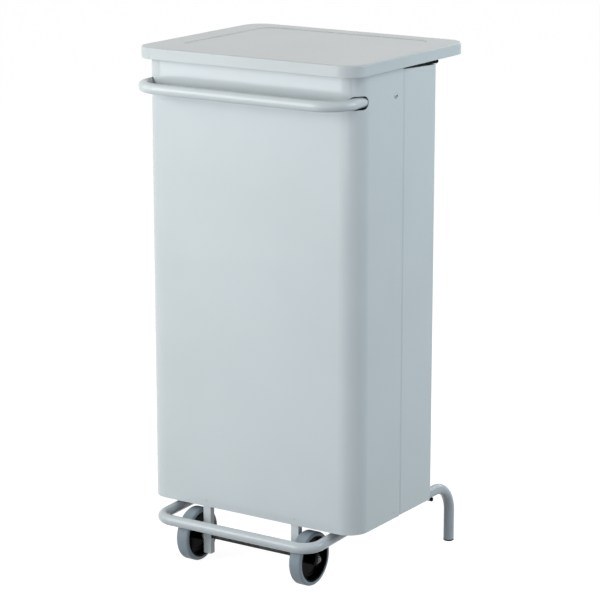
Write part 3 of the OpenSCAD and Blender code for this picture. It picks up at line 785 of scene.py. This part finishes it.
@dataclass
class Lid(Assembly):
    """The lid, pressed from one sheet, with its arms, lever, pin and buffers."""

    sheet: float = 1.2 * MM
    corner_radius: float = 40.0 * MM
    edge_radius: float = 2.5 * MM
    panel_side: float = 54.0 * MM
    panel_near: float = 64.0 * MM
    panel_far: float = 40.0 * MM
    panel_radius: float = 28.0 * MM
    panel_depth: float = 0.8 * MM
    panel_slope: float = 3.0 * MM
    corner_steps: int = 20
    arc_steps: int = 8
    support: float = 0.4 * MM

    def build(self) -> None:
        """Press the lid and dress its fittings."""
        self.finishes.dress(self.finishes.lid_shaded_paint, "lid", "lid_arm_left", "lid_arm_right", "lid_lever")
        self.finishes.dress(self.finishes.zinc, "lid_pin", "lid_pin_clips")
        self.finishes.dress(self.finishes.rubber, "lid_buffers")
        paint = self.finishes.get(self.finishes.lid_shaded_paint)
        pressed = MeshMaker.piece("lid_sheet", self._pressing(), paint, "lid", "grey_white_paint")
        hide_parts("lid")

    def _loop(self, low: Point, high: Point, radius: float, inset: float, height: float) -> list[Point]:
        """One loop of points round a rectangle with round corners.

        Args:
            low: Lowest corner of the rectangle.
            high: Highest corner of the rectangle.
            radius: Corner radius of the rectangle.
            inset: Distance by which the loop lies inside the rectangle.
            height: Height of the loop.

        Returns:
            The points, the same number for every loop.
        """
        points = []
        for quarter, (x, y) in enumerate(((high[0], high[1]), (low[0], high[1]),
                                          (low[0], low[1]), (high[0], low[1]))):
            middle_x = x - math.copysign(radius, x - (low[0] + high[0]) / 2)
            middle_y = y - math.copysign(radius, y - (low[1] + high[1]) / 2)
            for step in range(self.corner_steps + 1):
                turn = math.pi / 2 * (quarter + step / self.corner_steps)
                points.append((middle_x + (radius - inset) * math.cos(turn),
                               middle_y + (radius - inset) * math.sin(turn), height))
        return points

    def _pressing(self) -> BMesh:
        """The sheet with its skirt, its round edges and its sunk panel.

        Returns:
            The closed shape of the sheet.
        """
        low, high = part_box("lid")
        foot, top = low[2], high[2]
        panel_low = (low[0] + self.panel_side, low[1] + self.panel_near)
        panel_high = (high[0] - self.panel_side, high[1] - self.panel_far)

        def rim(inset: float, height: float) -> list[Point]:
            """A loop that follows the lid's outline."""
            return self._loop(low, high, self.corner_radius, inset, height)

        def sink(roof: float) -> list[list[Point]]:
            """Loops down the slope of the panel, from its border inwards."""
            loops = []
            for step in range(-1, self.arc_steps + 2):
                share = min(1.0, max(0.0, step / self.arc_steps))
                extra = self.support * ((step > self.arc_steps) - (step < 0))
                inset = self.panel_slope * (share - 0.5) + extra
                fall = self.panel_depth * (1 - math.cos(math.pi * share)) / 2
                loops.append(self._loop(panel_low, panel_high, self.panel_radius, inset, roof - fall))
            return loops

        arc = [math.pi / 2 * step / self.arc_steps for step in range(self.arc_steps + 1)]
        inner = self.edge_radius - self.sheet
        under = top - self.sheet
        half = self.sheet / 2
        hem = arc + [math.pi - a for a in arc[-2::-1]]
        loops = sink(under)[::-1]
        loops += [rim(self.edge_radius + self.support, under)]
        loops += [rim(self.edge_radius - inner * math.sin(a),
                      under - inner * (1 - math.cos(a))) for a in arc]
        loops += [rim(self.sheet, foot + self.sheet)]
        loops += [rim(half + half * math.cos(a), foot + half - half * math.sin(a)) for a in hem]
        loops += [rim(0.0, foot + self.sheet), rim(0.0, top - self.edge_radius - self.support)]
        loops += [rim(self.edge_radius * (1 - math.cos(a)),
                      top - self.edge_radius * (1 - math.sin(a))) for a in arc]
        loops += [rim(self.edge_radius + self.support, top)] + sink(top)
        shape = bmesh.new()
        rings = [[shape.verts.new(point) for point in loop] for loop in loops]
        for before, after in zip(rings, rings[1:]):
            for index, vertex in enumerate(before):
                beside = (index + 1) % len(before)
                shape.faces.new((vertex, before[beside], after[beside], after[index]))
        shape.faces.new(rings[0])
        shape.faces.new(rings[-1])
        return shape


@dataclass
class Handle(Assembly):
    """The push handle and its two button-head screws."""

    head_radius: float = 5.8 * MM
    head_height: float = 2.5 * MM
    socket_radius: float = 2.5 * MM
    socket_depth: float = 1.8 * MM
    shank_radius: float = 3.0 * MM
    shank_length: float = 9.0 * MM
    mouth_share: float = 1.12
    seat_share: float = 0.98
    mouth_edge: float = 0.1 * MM
    floor_cone: float = 0.4 * MM
    dome_steps: int = 10
    crease_deg: float = 25.0
    tolerance: float = 0.01 * MM

    def build(self) -> None:
        """Dress the handle and make its screws."""
        self.finishes.dress(self.finishes.paint, "push_handle")
        low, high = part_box("handle_screws")
        middle_y = (low[1] + high[1]) / 2
        middle_z = (low[2] + high[2]) / 2
        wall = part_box("front_shell")[1][0]
        for side in Side:
            base = Vector((side.value * wall, middle_y, middle_z))
            shape = self._screw(base, Vector((side.value, 0.0, 0.0)))
            screw = MeshMaker.piece(f"handle_screw_{side.name.lower()}", shape,
                                    self.finishes.get(self.finishes.dull_zinc), "body", "zinc_steel",
                                    self.crease_deg)
            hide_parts("handle_screws")

    def _screw(self, base: Vector, outward: Vector) -> BMesh:
        """Domed head with a six-sided socket, and its shank.

        Args:
            base: Middle of the head's seat.
            outward: Direction in which the head stands out.

        Returns:
            The screw.
        """
        ball = (self.head_radius ** 2 + self.head_height ** 2) / (2 * self.head_height)
        rim = math.asin(self.head_radius / ball)
        mouth = math.asin(self.socket_radius * self.mouth_share / ball)
        sink = self.head_height - ball
        dome = [rim + (mouth - rim) * step / self.dome_steps for step in range(self.dome_steps + 1)]
        profile = [(0.0, -self.shank_length), (self.shank_radius, -self.shank_length)]
        profile += [(self.shank_radius, 0.0), (self.head_radius * self.seat_share, 0.0)]
        profile += [(ball * math.sin(a), sink + ball * math.cos(a)) for a in dome]
        top = profile[-1][1]
        profile += [(self.socket_radius, top - self.mouth_edge),
                    (self.socket_radius, top - self.socket_depth),
                    (0.0, top - self.socket_depth - self.floor_cone)]
        shape = MeshMaker.lathe(profile, Vector(), Vector((0.0, 0.0, 1.0)))
        corner = math.pi / 3
        for vertex in shape.verts:
            radius = math.hypot(vertex.co.x, vertex.co.y)
            if abs(radius - self.socket_radius) < self.tolerance and vertex.co.z > 0:
                turn = math.atan2(vertex.co.y, vertex.co.x) % corner - corner / 2
                share = math.cos(corner / 2) / math.cos(turn)
                vertex.co.x *= share
                vertex.co.y *= share
        shape.transform(Matrix.Translation(base) @ MeshMaker.axes(outward))
        return shape


@dataclass
class Legs(Assembly):
    """The bent legs, their plugs and the rod that ties them."""

    bead_radius: float = 1.5 * MM
    bead_length: float = 4.5 * MM
    bead_sink: float = 0.3 * MM
    bead_offset: float = 0.5

    def build(self) -> None:
        """Dress the legs and weld them to the tie rod."""
        self.finishes.dress(self.finishes.leg_paint, "leg_left", "leg_right", "leg_tie_rod")
        self.finishes.dress(self.finishes.rubber, "leg_plug_left", "leg_plug_right", "tie_rod_caps")
        tie_low, tie_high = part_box("leg_tie_rod")
        tie_y = (tie_low[1] + tie_high[1]) / 2
        half = (tie_high[1] - tie_low[1]) / 2
        seam_z = tie_high[2] - self.bead_sink
        for side in Side:
            name = side.name.lower()
            low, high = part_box("leg_" + name)
            middle_x = (low[0] + high[0]) / 2
            inner = middle_x - side.value * self.bead_length
            for place, sign in (("near", -1), ("far", 1)):
                y = tie_y + sign * half * self.bead_offset
                path = straight(Vector((inner, y, seam_z)), Vector((middle_x, y, seam_z)))
                self.weld(f"tie_weld_{name}_{place}", path, self.bead_radius)


@dataclass
class Wheels(Assembly):
    """Posts, axle, washers, caps, and both wheels."""

    tyre_colour: Colour = screen_colour(131, 144, 153)
    tyre_roughness: float = 0.5
    bead_radius: float = 1.4 * MM
    bead_inset: float = 0.8 * MM
    bead_rise: float = 6 * MM
    bead_stop: float = 12 * MM

    def build(self) -> None:
        """Dress the running gear and weld the posts to the near wall."""
        self.finishes.dress(self.finishes.paint, "wheel_post_left", "wheel_post_right")
        self.finishes.dress(self.finishes.blackened, "axle")
        self.finishes.dress(self.finishes.zinc, "axle_washers")
        self.finishes.dress(self.finishes.cap_zinc, "axle_caps")
        for side in Side:
            self._wheel(side)
            self._post_welds(side)

    def _wheel(self, side: Side) -> None:
        """Dress one wheel, whose tyre is finished about its own axis."""
        name = side.name.lower()
        low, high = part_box("tyre_" + name)
        centre = tuple((a + b) / 2 for a, b in zip(low, high))
        tyre = TyreRubber(f"tyre_rubber_{name}", self.tyre_colour, self.tyre_roughness,
                          centre=centre, tread_radius=(high[2] - low[2]) / 2)
        self.finishes.dress(tyre, "tyre_" + name)
        self.finishes.dress(self.finishes.core, "wheel_core_" + name)

    def _post_welds(self, side: Side) -> None:
        """Weld one post to the near wall, along both of its front edges."""
        name = side.name.lower()
        low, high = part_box("wheel_post_" + name)
        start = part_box("front_shell")[0][2] + self.bead_rise
        end = high[2] - self.bead_stop
        corner_y = low[1] + self.bead_inset
        for edge, x in (("outer", high[0]), ("inner", low[0])):
            path = straight(Vector((x, corner_y, start)), Vector((x, corner_y, end)))
            self.weld(f"post_weld_{name}_{edge}", path, self.bead_radius)


@dataclass
class Pedal(Assembly):
    """The pedal loop with its shaft, lever, pin and plugs."""

    bead_radius: float = 1.3 * MM
    bead_reach: float = 6.1 * MM
    bead_lift: float = 0.7 * MM

    def build(self) -> None:
        """Dress the pedal and weld its shaft to the lever, on both sides of it."""
        self.finishes.dress(self.finishes.foot_shaded_paint, "pedal_loop", "pedal_lever")
        self.finishes.dress(self.finishes.paint, "pivot_bracket_left", "pivot_bracket_right")
        self.finishes.dress(self.finishes.zinc, "pedal_shaft", "pedal_pin", "pedal_pin_clips",
                            "bracket_screws", "bracket_nuts")
        self.finishes.dress(self.finishes.plastic, "pedal_plugs", "pivot_bushes")
        low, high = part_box("pedal_shaft")
        radius = (high[2] - low[2]) / 2
        middle = Vector((0.0, (low[1] + high[1]) / 2, (low[2] + high[2]) / 2))
        for side in Side:
            spot = middle + Vector((side.value * self.bead_reach, 0.0, 0.0))
            path = circle(spot, radius + self.bead_lift)
            self.weld(f"lever_weld_{side.name.lower()}", path, self.bead_radius, "pedal", closed=True)


@dataclass
class LiftGear(Assembly):
    """The push rod with its clevises and lock nuts."""

    def build(self) -> None:
        """Dress the parts that carry the pedal's motion to the lid."""
        self.finishes.dress(self.finishes.zinc, "push_rod", "clevis_lower", "clevis_upper", "rod_nuts")


# Studio

@dataclass
class Softbox:
    """A soft lamp that looks at a point of the bin."""

    name: str
    azimuth_deg: float
    height: float
    distance: float
    width: float
    tall: float
    power: float
    colour: tuple[float, float, float] = (1.0, 1.0, 1.0)
    aim_height: float = 0.5

    def build(self) -> None:
        """Place the lamp at its azimuth, counted from the near side towards the right."""
        turn = math.radians(self.azimuth_deg)
        lamp = bpy.data.lights.new(self.name, "AREA")
        lamp.shape = "RECTANGLE"
        lamp.size = self.width
        lamp.size_y = self.tall
        lamp.energy = self.power
        lamp.color = self.colour
        made = bpy.data.objects.new(self.name, lamp)
        made.location = (self.distance * math.sin(turn), -self.distance * math.cos(turn), self.height)
        aim = Vector((0.0, 0.0, self.aim_height)) - made.location
        made.rotation_euler = aim.to_track_quat("-Z", "Y").to_euler()
        bpy.context.scene.collection.objects.link(made)


@dataclass
class Studio:
    """Pale floor, white surroundings and soft lamps."""

    floor_half: float = 30.0
    surround: float = 0.24
    floor_colour: Colour = screen_colour(138, 140, 141)
    floor_glow: float = 0.93
    lamps: tuple[Softbox, ...] = ()

    def build(self) -> None:
        """Set the view, the world, the floor and the lamps."""
        bpy.context.scene.view_settings.view_transform = "Standard"
        self._world()
        self._floor()
        for lamp in self.lamps:
            lamp.build()

    @staticmethod
    def _seen_directly(graph: Graph) -> NodeSocket:
        """1 for rays from the camera, from gloss and through glass, and 0 for light that spreads."""
        rays = graph.add("ShaderNodeLightPath")
        seen = graph.maths("ADD", rays.outputs["Is Camera Ray"], rays.outputs["Is Glossy Ray"], clamp=True)
        return graph.maths("ADD", seen, rays.outputs["Is Transmission Ray"], clamp=True)

    def _world(self) -> None:
        """White surroundings that light the bin at a plain level."""
        world = bpy.data.worlds.new("surroundings")
        world.use_nodes = True
        graph = Graph(world.node_tree)
        back = graph.add("ShaderNodeBackground")
        back.inputs["Color"].default_value = (1.0, 1.0, 1.0, 1.0)
        level = graph.spread(self._seen_directly(graph), 0.0, 1.0, self.surround, 1.0)
        graph.feed(level, back.inputs["Strength"])
        graph.feed(back.outputs[0], graph.add("ShaderNodeOutputWorld").inputs["Surface"])
        bpy.context.scene.world = world

    def _floor(self) -> None:
        """Pale floor that looks white and still takes the bin's shadow."""
        mesh = bpy.data.meshes.new("floor")
        half = self.floor_half
        mesh.from_pydata([(-half, -half, 0), (half, -half, 0), (half, half, 0), (-half, half, 0)], [],
                         [(0, 1, 2, 3)])
        material = bpy.data.materials.new("floor")
        material.use_nodes = True
        graph = Graph(material.node_tree)
        matt = graph.add("ShaderNodeBsdfDiffuse")
        matt.inputs["Color"].default_value = self.floor_colour
        glow = graph.add("ShaderNodeEmission")
        seen = self._seen_directly(graph)
        graph.feed(graph.maths("MULTIPLY", seen, self.floor_glow), glow.inputs["Strength"])
        both = graph.add("ShaderNodeAddShader")
        graph.feed(matt.outputs[0], both.inputs[0])
        graph.feed(glow.outputs[0], both.inputs[1])
        graph.feed(both.outputs[0], graph.add("ShaderNodeOutputMaterial").inputs["Surface"])
        mesh.materials.append(material)
        floor = bpy.data.objects.new("floor", mesh)
        bpy.context.scene.collection.objects.link(floor)


@dataclass
class Viewpoint:
    """The photograph's camera, placed to the right of the bin and out from its near wall."""

    aside: float = 2.4558
    out: float = 3.5661
    height: float = 1.5809
    azimuth_deg: float = 33.338
    drop_deg: float = 13.814
    focal_pixels: float = 2482.3
    frame_pixels: float = 600.0
    sensor_mm: float = 36.0
    reach: float = 100.0

    def build(self) -> None:
        """Create the camera and make it the scene's."""
        data = bpy.data.cameras.new("viewpoint")
        data.sensor_width = self.sensor_mm
        data.lens = self.focal_pixels / self.frame_pixels * self.sensor_mm
        data.clip_end = self.reach
        made = bpy.data.objects.new("viewpoint", data)
        near_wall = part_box("front_shell")[0][1]
        made.location = (self.aside, near_wall - self.out, self.height)
        made.rotation_euler = (math.radians(90 - self.drop_deg), 0.0, math.radians(self.azimuth_deg))
        bpy.context.scene.collection.objects.link(made)
        bpy.context.scene.camera = made


def weld_spots(rise: float = 11.0 * MM, behind: float = 10.0 * MM) -> tuple[Point, ...]:
    """Places of the plug welds that hold the posts and the legs, on the shells' outer faces.

    Args:
        rise: Height of the welds above the shells' lower edge.
        behind: Distance of a leg's weld from the leg's front end.

    Returns:
        The middle of each weld.
    """
    low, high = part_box("front_shell")
    leg_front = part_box("leg_right")[0][1] + behind
    posts = []
    for side in Side:
        post_low, post_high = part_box("wheel_post_" + side.name.lower())
        posts.append(((post_low[0] + post_high[0]) / 2, low[1], low[2] + rise))
    legs = [(side.value * high[0], leg_front, low[2] + rise) for side in Side]
    return tuple(posts + legs)


def main() -> None:
    """Build the finishes, the sub-assemblies and the studio in order."""
    logging.basicConfig(level=logging.INFO, format="%(name)s: %(message)s")
    grey_white = screen_colour(200, 208, 211)
    dusty_black = screen_colour(30, 30, 32)
    finishes = Finishes(
        paint=PowderCoat("paint", grey_white, 0.18),
        body_paint=PowderCoat("body_paint", grey_white, 0.18, spots=weld_spots()),
        # Painted shade: the lid, its arms and its lever take a darker copy of the grey-white paint.
        lid_shaded_paint=PowderCoat("lid_shaded_paint", screen_colour(199, 206, 208), 0.18, shine=0.1, coat=0.1),
        # Painted shade: the pedal takes a darker copy of the grey-white paint. Its scuff near the floor is
        # wear.
        foot_shaded_paint=PowderCoat("foot_shaded_paint", screen_colour(186, 194, 198), 0.18, scuff=0.12),
        # Painted shade: the legs and the tie rod take a darker, bluer copy of the grey-white paint. Their
        # scuff near the floor is wear.
        leg_paint=PowderCoat("leg_paint", screen_colour(174, 182, 189), 0.2, scuff=0.12),
        coating=Plastic("bar_coating", screen_colour(4, 4, 5), 0.55, grain_scale=700.0, shine=0.03,
                        worn=dusty_black),
        plastic=Plastic("black_plastic", screen_colour(8, 8, 9), 0.42, shine=0.15),
        core=Plastic("wheel_core", screen_colour(1, 1, 2), 0.24, shine=0.03, scuff=0.03,
                     worn=dusty_black),
        rubber=Plastic("black_rubber", screen_colour(3, 3, 4), 0.6, grain_scale=500.0, shine=0.04,
                       scuff=0.03, scuff_height=0.02, worn=screen_colour(40, 40, 42)),
        zinc=PlatedSteel("zinc_steel", screen_colour(196, 198, 198), 0.28),
        dull_zinc=PlatedSteel("dull_zinc_steel", screen_colour(150, 150, 152), 0.45,
                              patch=screen_colour(118, 120, 122)),
        cap_zinc=PlatedSteel("cap_zinc_steel", screen_colour(84, 86, 88), 0.36,
                             patch=screen_colour(60, 62, 64)),
        blackened=PlatedSteel("blackened_steel", screen_colour(52, 54, 56), 0.35,
                              patch=screen_colour(38, 38, 40)),
    )
    for part in (Body, Lid, Handle, Legs, Wheels, Pedal, LiftGear):
        part(finishes).build()
        log.info("built %s", part.__name__)
    # Name, azimuth, height, distance, width, tall side, watts, colour, height of the aim
    lamps = (
        Softbox("over", -15.0, 1.8, 2.2, 1.5, 1.5, 2.6, (0.98, 1.0, 0.76), 0.6),
        Softbox("key", -25.0, 1.2, 2.4, 1.4, 1.4, 31.5, (0.98, 0.98, 1.0), 0.7),
        Softbox("left", -57.0, 1.3, 2.0, 1.4, 1.2, 10.6, (1.0, 0.98, 0.92), 0.7),
        Softbox("low", -30.0, 0.25, 2.6, 1.8, 0.45, 2.0, (0.96, 1.0, 1.0), 0.9),
        Softbox("fill", 10.0, 0.8, 2.0, 1.2, 0.8, 4.9, (0.88, 1.0, 1.0), 0.8),
        Softbox("front", 45.0, 0.9, 3.5, 1.0, 1.0, 7.8, (0.82, 0.78, 1.0), 0.6),
        Softbox("right", 112.0, 1.3, 2.0, 1.2, 1.2, 19.8, (0.8, 0.95, 1.0), 0.7),
        Softbox("behind", 172.0, 1.6, 2.6, 1.8, 1.6, 15.0, (1.0, 1.0, 1.0), 0.6),
        Softbox("near_spark", 68.9, 2.94, 1.85, 0.3, 0.3, 4.0, (1.0, 1.0, 1.0), 0.8),
        Softbox("far_spark", 94.3, 2.64, 1.77, 0.3, 0.3, 5.0, (1.0, 1.0, 1.0), 0.8),
    )
    Studio(lamps=lamps).build()
    Viewpoint().build()


if __name__ == "__main__":
    main()
